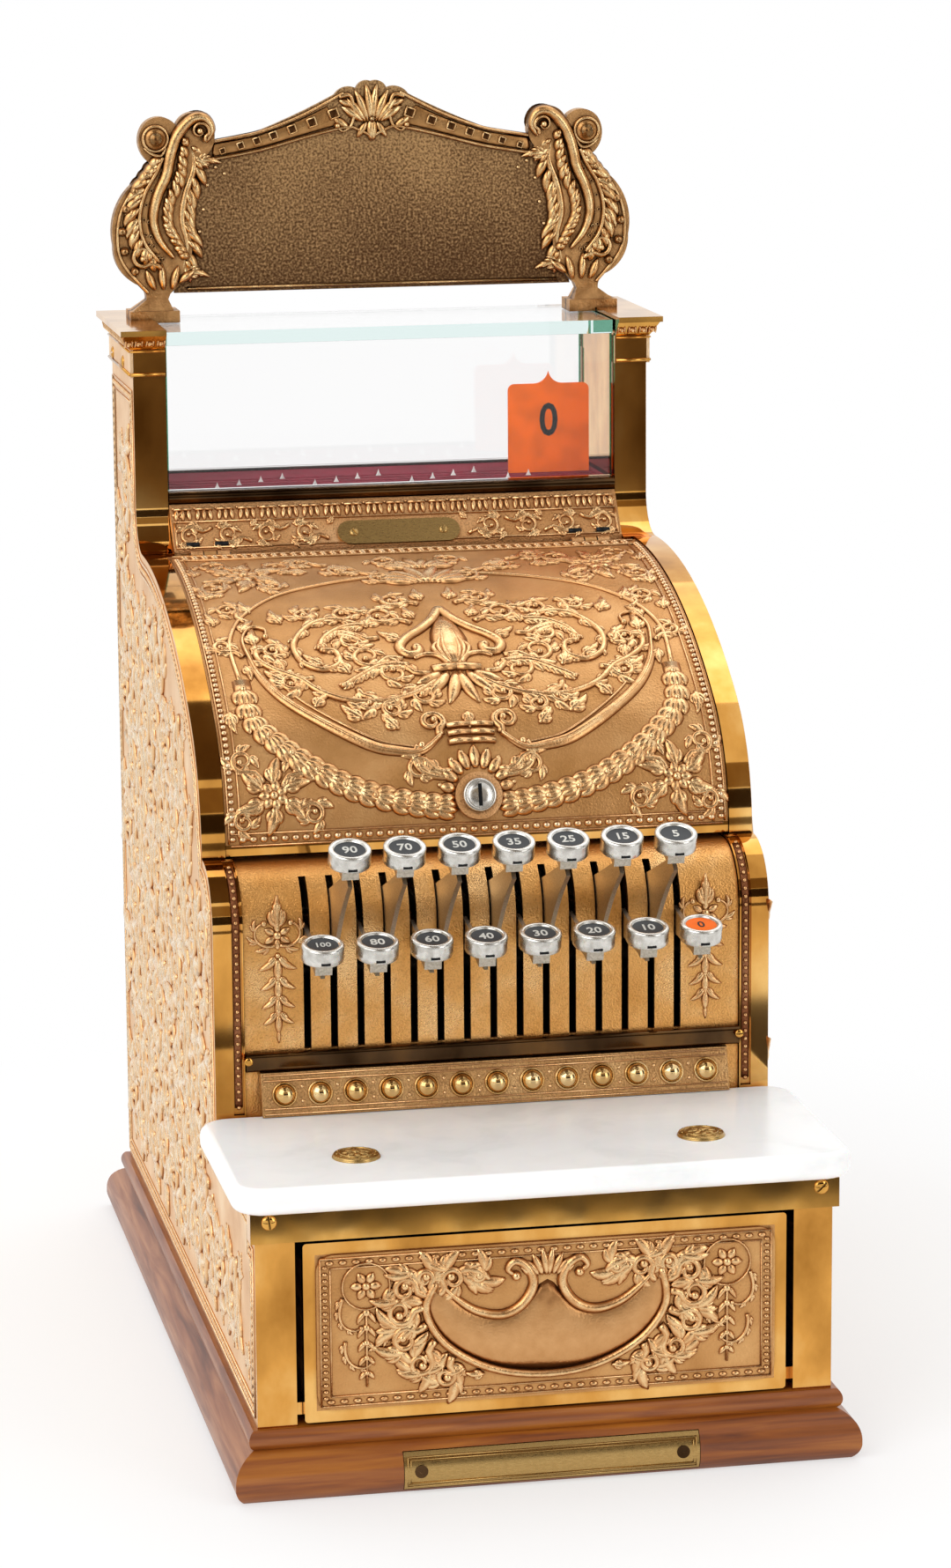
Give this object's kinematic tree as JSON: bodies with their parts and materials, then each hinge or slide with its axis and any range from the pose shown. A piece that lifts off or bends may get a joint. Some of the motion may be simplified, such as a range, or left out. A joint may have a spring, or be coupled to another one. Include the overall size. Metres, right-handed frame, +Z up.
{
  "type": "cash register",
  "caption": "Small antique counter cash register: gilt brass cabinet with keys, hinged lid, pop-up flags behind glass, marble shelf and cash drawer on a wooden plinth.",
  "frame": {"origin": "under the middle of the plinth, on the surface it stands on", "axes": "+Z up, -Y towards the operator, +X to the operator's right"},
  "size_m": [0.256, 0.421, 0.5347],
  "materials": {
    "gilt_brass": "satin",
    "polished_brass": "polished",
    "marble": "honed",
    "mahogany": "varnished",
    "drawer_oak": "oiled",
    "glass": "clear",
    "steel": "ground",
    "black_iron": "japanned",
    "bell_nickel": "nickel plated",
    "nickel": "nickel plated",
    "red_enamel": "gloss",
    "white_enamel": "gloss",
    "orange_enamel": "gloss"
  },
  "bodies": {
    "cabinet": {"plinth": "mahogany", "name_plates": "polished_brass", "side_right": "gilt_brass", "side_left": "gilt_brass", "drawer_rail": "polished_brass", "marble_shelf": "marble", "key_plate": "gilt_brass", "key_ledge": "polished_brass", "stud_strip": "gilt_brass", "guide_comb": "steel", "flag_deck": "red_enamel", "mechanism_frame": "black_iron", "pivot_shafts": "steel", "bell_gong": "bell_nickel", "drawer_spring": "steel", "frieze_panel": "gilt_brass", "window_sills": "polished_brass", "window_glass": "glass", "top_caps": "polished_brass", "back_cover": "gilt_brass", "top_sign": "gilt_brass", "fasteners": "polished_brass"},
    "drawer": {"drawer_front": "gilt_brass", "drawer_box": "drawer_oak", "drawer_dividers": "drawer_oak"},
    "lid": {"lid": "gilt_brass", "lock_case": "polished_brass"},
    "lock_plug": {"lock_plug": "nickel"},
    "bell_hammer": {"bell_hammer": "steel"},
    "drawer_latch": {"drawer_latch": "steel"},
    "key_01": {"key_01": "nickel"},
    "flag_01": {"flag_01": "white_enamel"},
    "key_02": {"key_02": "nickel"},
    "flag_02": {"flag_02": "white_enamel"},
    "key_03": {"key_03": "nickel"},
    "flag_03": {"flag_03": "white_enamel"},
    "key_04": {"key_04": "nickel"},
    "flag_04": {"flag_04": "white_enamel"},
    "key_05": {"key_05": "nickel"},
    "flag_05": {"flag_05": "white_enamel"},
    "key_06": {"key_06": "nickel"},
    "flag_06": {"flag_06": "white_enamel"},
    "key_07": {"key_07": "nickel"},
    "flag_07": {"flag_07": "white_enamel"},
    "key_08": {"key_08": "nickel"},
    "flag_08": {"flag_08": "white_enamel"},
    "key_09": {"key_09": "nickel"},
    "flag_09": {"flag_09": "white_enamel"},
    "key_10": {"key_10": "nickel"},
    "flag_10": {"flag_10": "white_enamel"},
    "key_11": {"key_11": "nickel"},
    "flag_11": {"flag_11": "white_enamel"},
    "key_12": {"key_12": "nickel"},
    "flag_12": {"flag_12": "white_enamel"},
    "key_13": {"key_13": "nickel"},
    "flag_13": {"flag_13": "white_enamel"},
    "key_14": {"key_14": "nickel"},
    "flag_14": {"flag_14": "white_enamel"},
    "key_15": {"key_15": "nickel"},
    "flag_15": {"flag_15": "orange_enamel"}
  },
  "joints": [
    {"name": "drawer_slide", "type": "slide", "parent": "cabinet", "child": "drawer", "axis": [0, -1, 0], "range_m": [0, 0.25]},
    {"name": "lid_hinge", "type": "hinge", "parent": "cabinet", "child": "lid", "pos_m": [0, 0.106, 0.3292], "axis": [-1, 0, 0], "range_deg": [0, 75]},
    {"name": "lock_turn", "type": "hinge", "parent": "lid", "child": "lock_plug", "pos_m": [0, -0.06679, 0.25124], "axis": [0, 0.9537, -0.3006], "range_deg": [0, 90]},
    {"name": "bell_strike", "type": "hinge", "parent": "cabinet", "child": "bell_hammer", "pos_m": [0.032, 0.181, 0.1257], "axis": [0, 1, 0], "range_deg": [0, 13]},
    {"name": "latch_drop", "type": "hinge", "parent": "cabinet", "child": "drawer_latch", "pos_m": [0, 0.188, 0.092], "axis": [1, 0, 0], "range_deg": [0, 19]},
    {"name": "key_01_press", "type": "hinge", "parent": "cabinet", "child": "key_01", "pos_m": [0, -0.025, 0.17], "axis": [1, 0, 0], "range_deg": [0, 14], "stiffness_Nm_per_rad": 0.05, "springref_deg": -20.05},
    {"name": "flag_01_rise", "type": "slide", "parent": "cabinet", "child": "flag_01", "axis": [0, 0, 1], "range_m": [0, 0.0442]},
    {"name": "key_02_press", "type": "hinge", "parent": "cabinet", "child": "key_02", "pos_m": [0, -0.025, 0.17], "axis": [1, 0, 0], "range_deg": [0, 14], "stiffness_Nm_per_rad": 0.05, "springref_deg": -20.05},
    {"name": "flag_02_rise", "type": "slide", "parent": "cabinet", "child": "flag_02", "axis": [0, 0, 1], "range_m": [0, 0.0442]},
    {"name": "key_03_press", "type": "hinge", "parent": "cabinet", "child": "key_03", "pos_m": [0, -0.025, 0.17], "axis": [1, 0, 0], "range_deg": [0, 14], "stiffness_Nm_per_rad": 0.05, "springref_deg": -20.05},
    {"name": "flag_03_rise", "type": "slide", "parent": "cabinet", "child": "flag_03", "axis": [0, 0, 1], "range_m": [0, 0.0442]},
    {"name": "key_04_press", "type": "hinge", "parent": "cabinet", "child": "key_04", "pos_m": [0, -0.025, 0.17], "axis": [1, 0, 0], "range_deg": [0, 14], "stiffness_Nm_per_rad": 0.05, "springref_deg": -20.05},
    {"name": "flag_04_rise", "type": "slide", "parent": "cabinet", "child": "flag_04", "axis": [0, 0, 1], "range_m": [0, 0.0442]},
    {"name": "key_05_press", "type": "hinge", "parent": "cabinet", "child": "key_05", "pos_m": [0, -0.025, 0.17], "axis": [1, 0, 0], "range_deg": [0, 14], "stiffness_Nm_per_rad": 0.05, "springref_deg": -20.05},
    {"name": "flag_05_rise", "type": "slide", "parent": "cabinet", "child": "flag_05", "axis": [0, 0, 1], "range_m": [0, 0.0442]},
    {"name": "key_06_press", "type": "hinge", "parent": "cabinet", "child": "key_06", "pos_m": [0, -0.025, 0.17], "axis": [1, 0, 0], "range_deg": [0, 14], "stiffness_Nm_per_rad": 0.05, "springref_deg": -20.05},
    {"name": "flag_06_rise", "type": "slide", "parent": "cabinet", "child": "flag_06", "axis": [0, 0, 1], "range_m": [0, 0.0442]},
    {"name": "key_07_press", "type": "hinge", "parent": "cabinet", "child": "key_07", "pos_m": [0, -0.025, 0.17], "axis": [1, 0, 0], "range_deg": [0, 14], "stiffness_Nm_per_rad": 0.05, "springref_deg": -20.05},
    {"name": "flag_07_rise", "type": "slide", "parent": "cabinet", "child": "flag_07", "axis": [0, 0, 1], "range_m": [0, 0.0442]},
    {"name": "key_08_press", "type": "hinge", "parent": "cabinet", "child": "key_08", "pos_m": [0, -0.025, 0.17], "axis": [1, 0, 0], "range_deg": [0, 14], "stiffness_Nm_per_rad": 0.05, "springref_deg": -20.05},
    {"name": "flag_08_rise", "type": "slide", "parent": "cabinet", "child": "flag_08", "axis": [0, 0, 1], "range_m": [0, 0.0442]},
    {"name": "key_09_press", "type": "hinge", "parent": "cabinet", "child": "key_09", "pos_m": [0, -0.025, 0.17], "axis": [1, 0, 0], "range_deg": [0, 14], "stiffness_Nm_per_rad": 0.05, "springref_deg": -20.05},
    {"name": "flag_09_rise", "type": "slide", "parent": "cabinet", "child": "flag_09", "axis": [0, 0, 1], "range_m": [0, 0.0442]},
    {"name": "key_10_press", "type": "hinge", "parent": "cabinet", "child": "key_10", "pos_m": [0, -0.025, 0.17], "axis": [1, 0, 0], "range_deg": [0, 14], "stiffness_Nm_per_rad": 0.05, "springref_deg": -20.05},
    {"name": "flag_10_rise", "type": "slide", "parent": "cabinet", "child": "flag_10", "axis": [0, 0, 1], "range_m": [0, 0.0442]},
    {"name": "key_11_press", "type": "hinge", "parent": "cabinet", "child": "key_11", "pos_m": [0, -0.025, 0.17], "axis": [1, 0, 0], "range_deg": [0, 14], "stiffness_Nm_per_rad": 0.05, "springref_deg": -20.05},
    {"name": "flag_11_rise", "type": "slide", "parent": "cabinet", "child": "flag_11", "axis": [0, 0, 1], "range_m": [0, 0.0442]},
    {"name": "key_12_press", "type": "hinge", "parent": "cabinet", "child": "key_12", "pos_m": [0, -0.025, 0.17], "axis": [1, 0, 0], "range_deg": [0, 14], "stiffness_Nm_per_rad": 0.05, "springref_deg": -20.05},
    {"name": "flag_12_rise", "type": "slide", "parent": "cabinet", "child": "flag_12", "axis": [0, 0, 1], "range_m": [0, 0.0442]},
    {"name": "key_13_press", "type": "hinge", "parent": "cabinet", "child": "key_13", "pos_m": [0, -0.025, 0.17], "axis": [1, 0, 0], "range_deg": [0, 14], "stiffness_Nm_per_rad": 0.05, "springref_deg": -20.05},
    {"name": "flag_13_rise", "type": "slide", "parent": "cabinet", "child": "flag_13", "axis": [0, 0, 1], "range_m": [0, 0.0442]},
    {"name": "key_14_press", "type": "hinge", "parent": "cabinet", "child": "key_14", "pos_m": [0, -0.025, 0.17], "axis": [1, 0, 0], "range_deg": [0, 14], "stiffness_Nm_per_rad": 0.05, "springref_deg": -20.05},
    {"name": "flag_14_rise", "type": "slide", "parent": "cabinet", "child": "flag_14", "axis": [0, 0, 1], "range_m": [0, 0.0442]},
    {"name": "key_15_press", "type": "hinge", "parent": "cabinet", "child": "key_15", "pos_m": [0, -0.025, 0.17], "axis": [1, 0, 0], "range_deg": [0, 14], "stiffness_Nm_per_rad": 0.05, "springref_deg": -20.05},
    {"name": "flag_15_drop", "type": "slide", "parent": "cabinet", "child": "flag_15", "axis": [0, 0, 1], "range_m": [-0.044, 0]}
  ],
  "couplings": [
    {"joint": "flag_01_rise", "follows": "key_01_press", "m_per_rad": 0.18007},
    {"joint": "flag_02_rise", "follows": "key_02_press", "m_per_rad": 0.18007},
    {"joint": "flag_03_rise", "follows": "key_03_press", "m_per_rad": 0.18007},
    {"joint": "flag_04_rise", "follows": "key_04_press", "m_per_rad": 0.18007},
    {"joint": "flag_05_rise", "follows": "key_05_press", "m_per_rad": 0.18007},
    {"joint": "flag_06_rise", "follows": "key_06_press", "m_per_rad": 0.18007},
    {"joint": "flag_07_rise", "follows": "key_07_press", "m_per_rad": 0.18007},
    {"joint": "flag_08_rise", "follows": "key_08_press", "m_per_rad": 0.18007},
    {"joint": "flag_09_rise", "follows": "key_09_press", "m_per_rad": 0.18007},
    {"joint": "flag_10_rise", "follows": "key_10_press", "m_per_rad": 0.18007},
    {"joint": "flag_11_rise", "follows": "key_11_press", "m_per_rad": 0.18007},
    {"joint": "flag_12_rise", "follows": "key_12_press", "m_per_rad": 0.18007},
    {"joint": "flag_13_rise", "follows": "key_13_press", "m_per_rad": 0.18007},
    {"joint": "flag_14_rise", "follows": "key_14_press", "m_per_rad": 0.18007}
  ]
}
